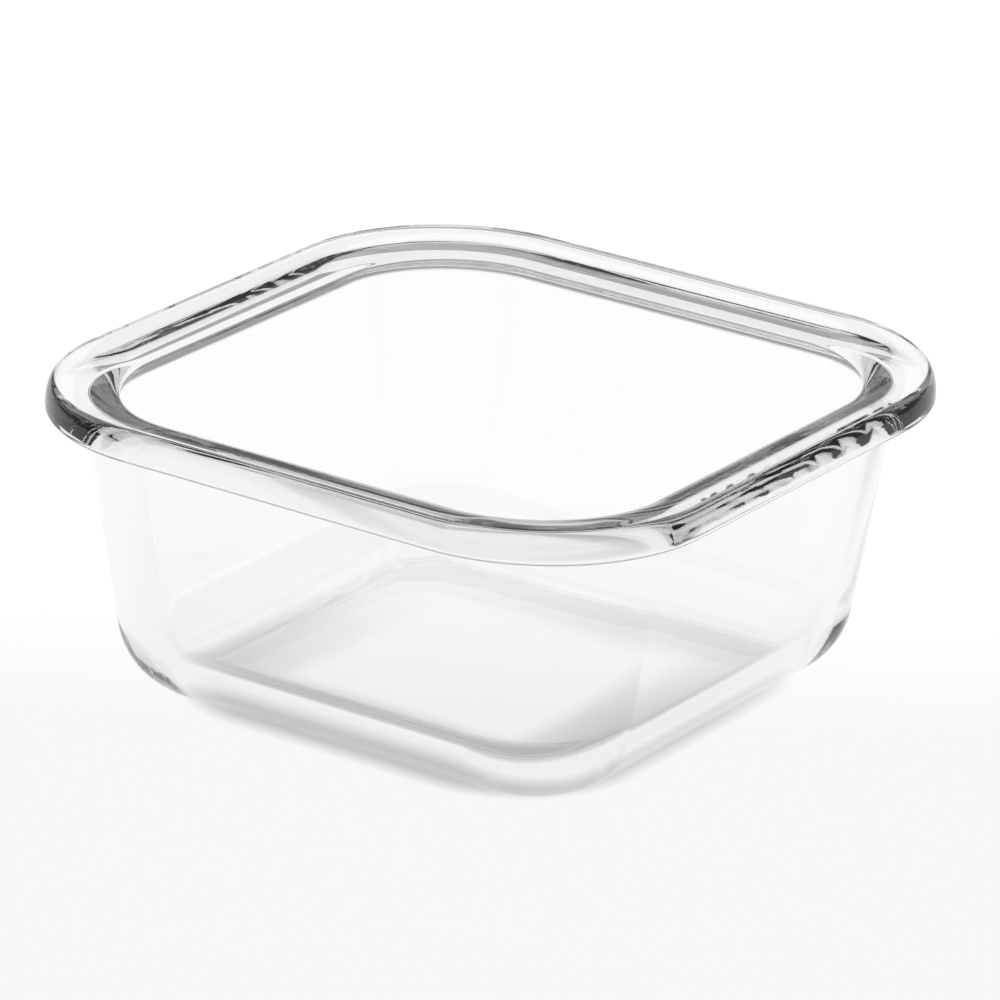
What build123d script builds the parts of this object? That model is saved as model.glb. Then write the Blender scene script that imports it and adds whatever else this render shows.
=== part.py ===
from build123d import *

import os
from math import radians, tan

# Square glass storage dish, pressed in one piece.
# Millimetres, +Z up. The origin is the centre of the flat face the dish stands on.
# The outside and the cavity are rounded squares with their own corner radii,
# so the glass is thicker in the corners than along the walls.

# Overall size
RIM_WIDTH = 160.0
HEIGHT = 70.6
CORNER_RADIUS = 40.7

# Rim. Its outer edge is a quarter ellipse above the widest line and another below it.
RIM_HEIGHT = 7.9
RIM_OVERHANG = 8.4
RIM_ROOT_RADIUS = 0.6
RIM_TOP_ROLL_WIDTH = 2.4
RIM_TOP_ROLL_HEIGHT = 5.7
RIM_BOTTOM_ROLL_WIDTH = 3.9
RIM_LAND_WIDTH = 1.0

# Shoulder: the long soft curve from the rim's level land down into the cavity.
SHOULDER_WIDTH = 11.3
SHOULDER_DEPTH = 4.0
SHOULDER_FULLNESS = 0.4

# Wall and floor
WALL_DRAFT_DEG = 8.9
FLOOR_THICKNESS = 4.5
HEEL_OUTER_RADIUS = 17.6
HEEL_INNER_RADIUS = 15.0
CAVITY_EXTRA_CORNER_RADIUS = 3.2

# Derived positions. Radii are measured from a corner's vertical axis.
DRAFT = tan(radians(WALL_DRAFT_DEG))
CORNER_AXIS = RIM_WIDTH / 2 - CORNER_RADIUS
CAVITY_CORNER_AXIS = CORNER_AXIS - CAVITY_EXTRA_CORNER_RADIUS
RIM_UNDERSIDE_Z = HEIGHT - RIM_HEIGHT
RIM_WIDEST_Z = HEIGHT - RIM_TOP_ROLL_HEIGHT
RIM_ROOT_R = CORNER_RADIUS - RIM_OVERHANG
CAVITY_LIP_R = CORNER_RADIUS + CAVITY_EXTRA_CORNER_RADIUS
SHOULDER_TOP_R = CAVITY_LIP_R - RIM_TOP_ROLL_WIDTH - RIM_LAND_WIDTH
SHOULDER_LOW_R = SHOULDER_TOP_R - SHOULDER_WIDTH
SHOULDER_LOW_Z = HEIGHT - SHOULDER_DEPTH
CUTTER_TOP = HEIGHT + RIM_HEIGHT


def outer_wall_r(z):
    """Radius of the wall's outer face at height z."""
    return RIM_ROOT_R - (RIM_UNDERSIDE_Z - z) * DRAFT


def cavity_r(z):
    """Radius of the cavity's wall at height z, below the shoulder."""
    return SHOULDER_LOW_R - (SHOULDER_LOW_Z - z) * DRAFT


def round_corner(section, corner, radius):
    """The section with the vertex nearest to a point rounded."""
    return fillet(section.vertices().sort_by_distance(corner)[0], radius)


def rounded_square(section, corner_axis, low, high):
    """Four straight sides, four round corners and the middle block, fused into one solid."""
    upright = Plane.XZ * section
    side = Pos(corner_axis, 0, 0) * extrude(upright, amount=corner_axis, both=True)
    corner = Pos(corner_axis, corner_axis, 0) * revolve(upright, Axis.Z, revolution_arc=90)
    middle = Pos(0, 0, (low + high) / 2) * Box(2 * corner_axis, 2 * corner_axis, high - low)
    pieces = []
    for turn in (0, 90, 180, 270):
        pieces.append(Rot(0, 0, turn) * side)
        pieces.append(Rot(0, 0, turn) * corner)
    return middle.fuse(*pieces).clean()


def blank():
    """The outside of the dish, with no cavity yet."""
    heel = (outer_wall_r(0), 0)
    root = (RIM_ROOT_R, RIM_UNDERSIDE_Z)
    bottom_roll_r = CORNER_RADIUS - RIM_BOTTOM_ROLL_WIDTH
    top_roll_r = CORNER_RADIUS - RIM_TOP_ROLL_WIDTH
    bottom_roll_height = RIM_WIDEST_Z - RIM_UNDERSIDE_Z
    outline = [
        Polyline((0, 0), heel, root, (bottom_roll_r, RIM_UNDERSIDE_Z)),
        EllipticalCenterArc(
            (bottom_roll_r, RIM_WIDEST_Z),
            RIM_BOTTOM_ROLL_WIDTH,
            bottom_roll_height,
            start_angle=-90,
            arc_size=90,
        ),
        EllipticalCenterArc(
            (top_roll_r, RIM_WIDEST_Z),
            RIM_TOP_ROLL_WIDTH,
            RIM_TOP_ROLL_HEIGHT,
            start_angle=0,
            arc_size=90,
        ),
        Polyline((top_roll_r, HEIGHT), (0, HEIGHT), (0, 0)),
    ]
    section = make_face(outline)
    section = round_corner(section, heel, HEEL_OUTER_RADIUS)
    section = round_corner(section, root, RIM_ROOT_RADIUS)
    return rounded_square(section, CORNER_AXIS, 0, HEIGHT)


def cavity():
    """The space inside, with the rim's shoulder, carried on up past the top of the rim."""
    heel = (cavity_r(FLOOR_THICKNESS), FLOOR_THICKNESS)
    shoulder_low = (SHOULDER_LOW_R, SHOULDER_LOW_Z)
    shoulder_top = (SHOULDER_TOP_R, HEIGHT)
    rise = SHOULDER_FULLNESS * SHOULDER_DEPTH
    outline = [
        Polyline((0, FLOOR_THICKNESS), heel, shoulder_low),
        Bezier(
            shoulder_low,
            (SHOULDER_LOW_R + rise * DRAFT, SHOULDER_LOW_Z + rise),
            (SHOULDER_TOP_R - SHOULDER_FULLNESS * SHOULDER_WIDTH, HEIGHT),
            shoulder_top,
        ),
        Polyline(
            shoulder_top,
            (CAVITY_LIP_R, HEIGHT),
            (CAVITY_LIP_R, CUTTER_TOP),
            (0, CUTTER_TOP),
            (0, FLOOR_THICKNESS),
        ),
    ]
    section = round_corner(make_face(outline), heel, HEEL_INNER_RADIUS)
    return rounded_square(section, CAVITY_CORNER_AXIS, FLOOR_THICKNESS, CUTTER_TOP)


glass_dish = (blank() - cavity()).clean()
glass_dish.label = "glass_dish"

os.makedirs("parts", exist_ok=True)
export_step(glass_dish, "parts/glass_dish.step")

box = glass_dish.bounding_box()
print("solids", len(glass_dish.solids()), "volume_mm3", round(glass_dish.volume, 1))
print("size_mm", round(box.size.X, 3), round(box.size.Y, 3), round(box.size.Z, 3))
print("low_mm", round(box.min.X, 3), round(box.min.Y, 3), round(box.min.Z, 3))
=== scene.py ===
from math import cos, pi, radians, sin, tan

import bpy
import numpy as np
from mathutils import Matrix, Vector


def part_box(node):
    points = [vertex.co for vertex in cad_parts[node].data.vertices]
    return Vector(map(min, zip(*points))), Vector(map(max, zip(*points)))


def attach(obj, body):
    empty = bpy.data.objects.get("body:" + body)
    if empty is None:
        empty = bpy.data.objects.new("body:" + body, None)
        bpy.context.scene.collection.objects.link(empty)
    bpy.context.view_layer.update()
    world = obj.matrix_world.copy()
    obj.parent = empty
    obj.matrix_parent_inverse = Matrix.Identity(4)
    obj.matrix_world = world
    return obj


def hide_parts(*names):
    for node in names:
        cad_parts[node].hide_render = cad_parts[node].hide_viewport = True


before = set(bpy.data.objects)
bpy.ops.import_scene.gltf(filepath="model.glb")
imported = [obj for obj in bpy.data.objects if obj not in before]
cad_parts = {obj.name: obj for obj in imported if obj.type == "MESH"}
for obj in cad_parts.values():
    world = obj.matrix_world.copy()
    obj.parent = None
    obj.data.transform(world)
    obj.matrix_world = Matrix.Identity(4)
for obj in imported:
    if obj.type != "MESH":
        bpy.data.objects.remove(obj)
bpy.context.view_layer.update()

# ---------------------------------------------------------------- dimensions
NODE = "glass_dish"
low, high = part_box(NODE)
WIDTH = high.x - low.x
HEIGHT = high.z - low.z
MM = WIDTH / 160.0  # one millimetre of the real dish

CORNER_RADIUS = 40.7 * MM
RIM_HEIGHT = 7.9 * MM
RIM_OVERHANG = 8.4 * MM
RIM_ROOT_RADIUS = 0.6 * MM
TOP_ROLL_WIDTH = 2.4 * MM
TOP_ROLL_HEIGHT = 5.7 * MM
BOTTOM_ROLL_WIDTH = 3.9 * MM
LAND_WIDTH = 1.0 * MM
SHOULDER_WIDTH = 11.3 * MM
SHOULDER_DEPTH = 4.0 * MM
SHOULDER_FULLNESS = 0.4
DRAFT = tan(radians(8.9))
FLOOR_THICKNESS = 4.5 * MM
HEEL_OUTER_RADIUS = 17.6 * MM
HEEL_INNER_RADIUS = 15.0 * MM
CAVITY_EXTRA_RADIUS = 3.2 * MM

# Radii are measured from the vertical axis of a corner.
CORNER_AXIS = WIDTH / 2 - CORNER_RADIUS
CAVITY_AXIS = CORNER_AXIS - CAVITY_EXTRA_RADIUS
UNDERSIDE_Z = HEIGHT - RIM_HEIGHT
WIDEST_Z = HEIGHT - TOP_ROLL_HEIGHT
ROOT_R = CORNER_RADIUS - RIM_OVERHANG
CREST_R = CORNER_RADIUS - TOP_ROLL_WIDTH
SHOULDER_TOP_R = CREST_R - LAND_WIDTH + CAVITY_EXTRA_RADIUS
SHOULDER_LOW_R = SHOULDER_TOP_R - SHOULDER_WIDTH
SHOULDER_LOW_Z = HEIGHT - SHOULDER_DEPTH

# Mesh resolution
FLAT_R = 1.0 * MM
LONGEST_STEP = 1.5 * MM
SHORTEST_STEP = 1e-7
ARC_STEPS_PER_RADIAN = 22
QUARTER_STEPS = 24
CORNER_STEPS = 150
SIDE_STEPS = 36
CENTRE_RINGS = 12


# ------------------------------------------------------------- cross-section
def rounded(points):
    """Line through (r, z, radius) points, with an arc of that radius at each inner one."""
    line = [np.array(points[0][:2])]
    for before, (x, z, radius), after in zip(points, points[1:], points[2:]):
        p = np.array([x, z])
        a = np.array(before[:2]) - p
        b = np.array(after[:2]) - p
        a /= np.linalg.norm(a)
        b /= np.linalg.norm(b)
        half = np.arccos(a @ b) / 2
        centre = p + (a + b) / np.linalg.norm(a + b) * radius / np.sin(half)
        reach = radius / np.tan(half)
        u = (p + a * reach - centre) / radius
        v = (p + b * reach - centre) / radius
        sweep = np.arccos(u @ v)
        for t in np.linspace(0, 1, int(ARC_STEPS_PER_RADIAN * sweep) + 2):
            spoke = (np.sin((1 - t) * sweep) * u + np.sin(t * sweep) * v) / np.sin(sweep)
            line.append(centre + radius * spoke)
    line.append(np.array(points[-1][:2]))
    return line


def quarter(centre_r, centre_z, width, height, start):
    """Quarter of an ellipse, from the angle start, anticlockwise."""
    turns = np.linspace(start, start + pi / 2, QUARTER_STEPS)
    return [np.array([centre_r + width * cos(t), centre_z + height * sin(t)]) for t in turns]


def bezier(p0, p1, p2, p3):
    """Points along the cubic curve with these four poles."""
    p0, p1, p2, p3 = (np.array(p) for p in (p0, p1, p2, p3))
    steps = np.linspace(0, 1, 2 * QUARTER_STEPS)
    return [(1 - t) ** 3 * p0 + 3 * (1 - t) ** 2 * t * p1 + 3 * (1 - t) * t * t * p2 + t ** 3 * p3
            for t in steps]


def subdivide(line):
    """The same line with no step longer than LONGEST_STEP and no repeated point."""
    out = [line[0]]
    for p in line[1:]:
        start = out[-1]
        length = np.linalg.norm(p - start)
        if length < SHORTEST_STEP:
            continue
        n = int(np.ceil(length / LONGEST_STEP))
        out += [start + (p - start) * k / n for k in range(1, n + 1)]
    return out


def outside_line():
    """From the underside, round the heel, up the wall and over the rim to its crest."""
    heel_r = ROOT_R - UNDERSIDE_Z * DRAFT
    bottom_roll_r = CORNER_RADIUS - BOTTOM_ROLL_WIDTH
    line = rounded([(FLAT_R, 0, 0), (heel_r, 0, HEEL_OUTER_RADIUS),
                    (ROOT_R, UNDERSIDE_Z, RIM_ROOT_RADIUS), (bottom_roll_r, UNDERSIDE_Z, 0)])
    line += quarter(bottom_roll_r, WIDEST_Z, BOTTOM_ROLL_WIDTH, WIDEST_Z - UNDERSIDE_Z, -pi / 2)
    line += quarter(CREST_R, WIDEST_Z, TOP_ROLL_WIDTH, TOP_ROLL_HEIGHT, 0)
    return subdivide(line)


def inside_line():
    """From the rim's land down the shoulder and the cavity's wall to the middle of the floor."""
    heel_r = SHOULDER_LOW_R - (SHOULDER_LOW_Z - FLOOR_THICKNESS) * DRAFT
    rise = SHOULDER_FULLNESS * SHOULDER_DEPTH
    line = [np.array([CREST_R + CAVITY_EXTRA_RADIUS, HEIGHT])]
    line += bezier((SHOULDER_TOP_R, HEIGHT), (SHOULDER_TOP_R - SHOULDER_FULLNESS * SHOULDER_WIDTH, HEIGHT),
                   (SHOULDER_LOW_R + rise * DRAFT, SHOULDER_LOW_Z + rise), (SHOULDER_LOW_R, SHOULDER_LOW_Z))
    line += rounded([(SHOULDER_LOW_R, SHOULDER_LOW_Z, 0), (heel_r, FLOOR_THICKNESS, HEEL_INNER_RADIUS),
                     (FLAT_R, FLOOR_THICKNESS, 0)])
    return subdivide(line)


# ---------------------------------------------------------------- glass body
def plan_ring(r, z, axis):
    """Rounded square at height z: four straight sides and four quarter circles of radius r."""
    quarter_ring = [(axis + r, axis * t) for t in np.linspace(-1, 1, SIDE_STEPS, endpoint=False)]
    quarter_ring += [(axis + r * cos(t), axis + r * sin(t))
                     for t in np.linspace(0, pi / 2, CORNER_STEPS, endpoint=False)]
    ring = []
    for k in range(4):
        c, s = cos(k * pi / 2), sin(k * pi / 2)
        ring += [(c * x - s * y, s * x + c * y, z) for x, y in quarter_ring]
    return np.array(ring)


def shrinking_rings(r, z, axis):
    """Rings that close a flat face towards its middle, largest last."""
    full = plan_ring(r, z, axis)
    scales = np.linspace(0, 1, CENTRE_RINGS + 1)[1:-1]
    return [full * (s, s, 1) for s in scales]


def glass_mesh(name):
    outside = [(r, z, CORNER_AXIS) for r, z in outside_line()]
    inside = [(r, z, CAVITY_AXIS) for r, z in inside_line()]
    rings = shrinking_rings(*outside[0])
    rings += [plan_ring(*p) for p in outside + inside]
    rings += reversed(shrinking_rings(*inside[-1]))
    n = len(rings[0])
    verts = np.vstack(rings + [[(0, 0, 0), (0, 0, FLOOR_THICKNESS)]])
    bottom, top = len(verts) - 2, len(verts) - 1
    faces = []
    for k in range(len(rings) - 1):
        for i in range(n):
            j = (i + 1) % n
            faces.append((k * n + i, k * n + j, k * n + n + j, k * n + n + i))
    last = (len(rings) - 1) * n
    for i in range(n):
        j = (i + 1) % n
        faces.append((bottom, j, i))
        faces.append((last + i, last + j, top))
    middle = np.array([(low.x + high.x) / 2, (low.y + high.y) / 2, low.z])
    mesh = bpy.data.meshes.new(name)
    mesh.from_pydata((verts + middle).tolist(), [], faces)
    mesh.polygons.foreach_set("use_smooth", [True] * len(mesh.polygons))
    obj = bpy.data.objects.new(name, mesh)
    bpy.context.scene.collection.objects.link(obj)
    return obj


# ------------------------------------------------------------------ material
GLASS_IOR = 1.5
GLASS_TINT = (0.90, 0.903, 0.903, 1)
TINT_DENSITY = 35.0
WAVE_HEIGHT = 0.0006
RIPPLE_HEIGHT = 0.0001
SMUDGE_ROUGHNESS = 0.035


def add(nodes, kind, **values):
    """New node with its sockets set by name, spaces written as underscores."""
    node = nodes.new(kind)
    for key, value in values.items():
        node.inputs[key.replace("_", " ")].default_value = value
    return node


def pressed_glass():
    """Clear glass with the faint long waves of a press mould and a trace of handling on its skin."""
    mat = bpy.data.materials.new("pressed_glass")
    mat.use_nodes = True
    nodes, links = mat.node_tree.nodes, mat.node_tree.links
    shader = nodes["Principled BSDF"]
    shader.inputs["Base Color"].default_value = (1, 1, 1, 1)
    shader.inputs["IOR"].default_value = GLASS_IOR
    shader.inputs["Transmission Weight"].default_value = 1.0

    place = nodes.new("ShaderNodeTexCoord")
    waves = add(nodes, "ShaderNodeTexNoise", Scale=38.0, Detail=1.0, Roughness=0.4, Distortion=0.3)
    ripple = add(nodes, "ShaderNodeTexNoise", Scale=210.0, Detail=2.0, Roughness=0.5)
    smudge = add(nodes, "ShaderNodeTexNoise", Scale=55.0, Detail=4.0, Roughness=0.6)
    for texture in (waves, ripple, smudge):
        links.new(place.outputs["Object"], texture.inputs["Vector"])

    broad = add(nodes, "ShaderNodeBump", Strength=0.08, Distance=WAVE_HEIGHT)
    fine = add(nodes, "ShaderNodeBump", Strength=0.06, Distance=RIPPLE_HEIGHT)
    links.new(waves.outputs["Fac"], broad.inputs["Height"])
    links.new(ripple.outputs["Fac"], fine.inputs["Height"])
    links.new(broad.outputs["Normal"], fine.inputs["Normal"])
    links.new(fine.outputs["Normal"], shader.inputs["Normal"])

    rough = add(nodes, "ShaderNodeMapRange", From_Min=0.45, From_Max=0.8, To_Max=SMUDGE_ROUGHNESS)
    links.new(smudge.outputs["Fac"], rough.inputs["Value"])
    links.new(rough.outputs["Result"], shader.inputs["Roughness"])

    depth = add(nodes, "ShaderNodeVolumeAbsorption", Color=GLASS_TINT, Density=TINT_DENSITY)
    links.new(depth.outputs["Volume"], nodes["Material Output"].inputs["Volume"])
    return mat


glass = glass_mesh("glass_body")
glass.data.materials.append(pressed_glass())
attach(glass, "root")
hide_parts(NODE)

# -------------------------------------------------------------------- studio
FLOOR_SIZE = 12.0
FLOOR_GAP = 0.0002
FLOOR_GLOW = 1.02
# Painted contact shadow in the floor's glow: a soft rounded-square ring under the dish, darker towards the
# front right.
SHADE_CORE = 26 * MM
SHADE_REACH = 31.5 * MM
SHADE_STEPS = ((0.0, 0.95), (0.2, 0.6), (0.55, 0.38), (0.82, 0.5), (1.0, 1.0))
SHADE_STARTS = -45 * MM
SHADE_FULL = 25 * MM
DOME_RADIUS = 2.5
MIX_FACTOR, MIX_PLAIN, MIX_SHADED, MIX_RESULT = 0, 6, 7, 2
VIEW_AZ = radians(34.51)


def glowing(name, strength):
    """Material that only gives off plain white light."""
    mat = bpy.data.materials.new(name)
    mat.use_nodes = True
    nodes = mat.node_tree.nodes
    nodes.clear()
    light = add(nodes, "ShaderNodeEmission", Strength=strength)
    out = nodes.new("ShaderNodeOutputMaterial")
    mat.node_tree.links.new(light.outputs["Emission"], out.inputs["Surface"])
    return mat


def vector_math(tree, operation, first, second=None):
    node = tree.nodes.new("ShaderNodeVectorMath")
    node.operation = operation
    tree.links.new(first, node.inputs[0])
    if second:
        node.inputs[1].default_value = second
    return node


def backlit_floor():
    """White backlit table, with a painted soft shadow ring under the dish that dims its glow and fades in
    towards the front right.
    """
    mat = glowing("floor_white_painted_shadow", FLOOR_GLOW)
    tree = mat.node_tree
    place = tree.nodes.new("ShaderNodeTexCoord").outputs["Object"]

    folded = vector_math(tree, "ABSOLUTE", place)
    beyond = vector_math(tree, "SUBTRACT", folded.outputs["Vector"], (SHADE_CORE, SHADE_CORE, 0))
    outside = vector_math(tree, "MAXIMUM", beyond.outputs["Vector"], (0, 0, 0))
    spread = vector_math(tree, "LENGTH", outside.outputs["Vector"])
    reach = add(tree.nodes, "ShaderNodeMapRange", From_Max=SHADE_REACH)
    tree.links.new(spread.outputs["Value"], reach.inputs["Value"])
    # Painted shadow: how dark the floor's glow is across the ring under the dish.
    painted_shadow_ramp = tree.nodes.new("ShaderNodeValToRGB")
    ramp = painted_shadow_ramp.color_ramp
    ramp.interpolation = "B_SPLINE"
    for k, (position, tone) in enumerate(SHADE_STEPS):
        stop = ramp.elements[k] if k < 2 else ramp.elements.new(position)
        stop.position = position
        stop.color = (tone, tone, tone, 1)
    tree.links.new(reach.outputs["Result"], painted_shadow_ramp.inputs["Fac"])

    # The painted shadow fades in towards the front right, away from the back-left lights.
    front_right = (sin(VIEW_AZ), -cos(VIEW_AZ), 0)
    along = vector_math(tree, "DOT_PRODUCT", place, front_right)
    side = add(tree.nodes, "ShaderNodeMapRange", From_Min=SHADE_STARTS, From_Max=SHADE_FULL)
    tree.links.new(along.outputs["Value"], side.inputs["Value"])

    mix = tree.nodes.new("ShaderNodeMix")
    mix.data_type = "RGBA"
    mix.inputs[MIX_PLAIN].default_value = (1, 1, 1, 1)
    tree.links.new(side.outputs["Result"], mix.inputs[MIX_FACTOR])
    tree.links.new(painted_shadow_ramp.outputs["Color"], mix.inputs[MIX_SHADED])
    tree.links.new(mix.outputs[MIX_RESULT], tree.nodes["Emission"].inputs["Color"])
    return mat


bpy.ops.mesh.primitive_plane_add(size=FLOOR_SIZE, location=(0, 0, low.z - FLOOR_GAP))
floor = bpy.context.object
floor.name = "floor"
floor.data.materials.append(backlit_floor())


def softbox(name, azimuth, elevation, width, height, strength):
    """Glowing card on a dome round the dish. Azimuth 0 is the -Y side and 90 is the +X side."""
    a, e = radians(azimuth), radians(elevation)
    away = Vector((sin(a) * cos(e), -cos(a) * cos(e), sin(e)))
    bpy.ops.mesh.primitive_plane_add(size=1)
    card = bpy.context.object
    card.name = name
    card.matrix_world = (Matrix.Translation(away * DOME_RADIUS)
                         @ away.to_track_quat("Z", "Y").to_matrix().to_4x4()
                         @ Matrix.Diagonal((width, height, 1, 1)))
    card.data.materials.append(glowing(name, strength))


softbox("back_light", 207, 45, 1.9, 0.62, 0.95)
softbox("low_back_light", 213, 21, 0.95, 0.42, 0.95)
softbox("side_light", 326, 39, 0.9, 1.1, 0.8)

ROOM_LOW = (0.36, 0.36, 0.36, 1)
ROOM_HIGH = (0.50, 0.50, 0.50, 1)
world = bpy.data.worlds.new("studio_room")
bpy.context.scene.world = world
world.use_nodes = True
sky = world.node_tree
place = sky.nodes.new("ShaderNodeTexCoord")
split = sky.nodes.new("ShaderNodeSeparateXYZ")
tone = sky.nodes.new("ShaderNodeValToRGB")
tone.color_ramp.elements[0].position = 0.5
tone.color_ramp.elements[0].color = ROOM_LOW
tone.color_ramp.elements[1].color = ROOM_HIGH
sky.links.new(place.outputs["Generated"], split.inputs["Vector"])
sky.links.new(split.outputs["Z"], tone.inputs["Fac"])
sky.links.new(tone.outputs["Color"], sky.nodes["Background"].inputs["Color"])

# -------------------------------------------------------------------- camera
VIEW_EL = radians(21.76)
VIEW_ROLL = radians(1.678)
VIEW_DISTANCE = 9.552 * WIDTH
AIM_HEIGHT = 0.19 * WIDTH
LENS = 254.7
target = Vector(((low.x + high.x) / 2, (low.y + high.y) / 2, low.z + AIM_HEIGHT))
back = Vector((sin(VIEW_AZ) * cos(VIEW_EL), -cos(VIEW_AZ) * cos(VIEW_EL), sin(VIEW_EL)))
cam = bpy.data.cameras.new("camera")
cam.lens = LENS
cam.sensor_width = 36
cam.shift_x = 0.01107
cam.shift_y = 0.04349
cam.clip_end = 50
camera = bpy.data.objects.new("camera", cam)
camera.matrix_world = (Matrix.Translation(target + back * VIEW_DISTANCE)
                       @ back.to_track_quat("Z", "Y").to_matrix().to_4x4()
                       @ Matrix.Rotation(VIEW_ROLL, 4, "Z"))
bpy.context.scene.collection.objects.link(camera)
bpy.context.scene.camera = camera

scene = bpy.context.scene
scene.view_settings.view_transform = "Standard"
scene.cycles.max_bounces = 32
scene.cycles.transmission_bounces = 32
scene.cycles.glossy_bounces = 16
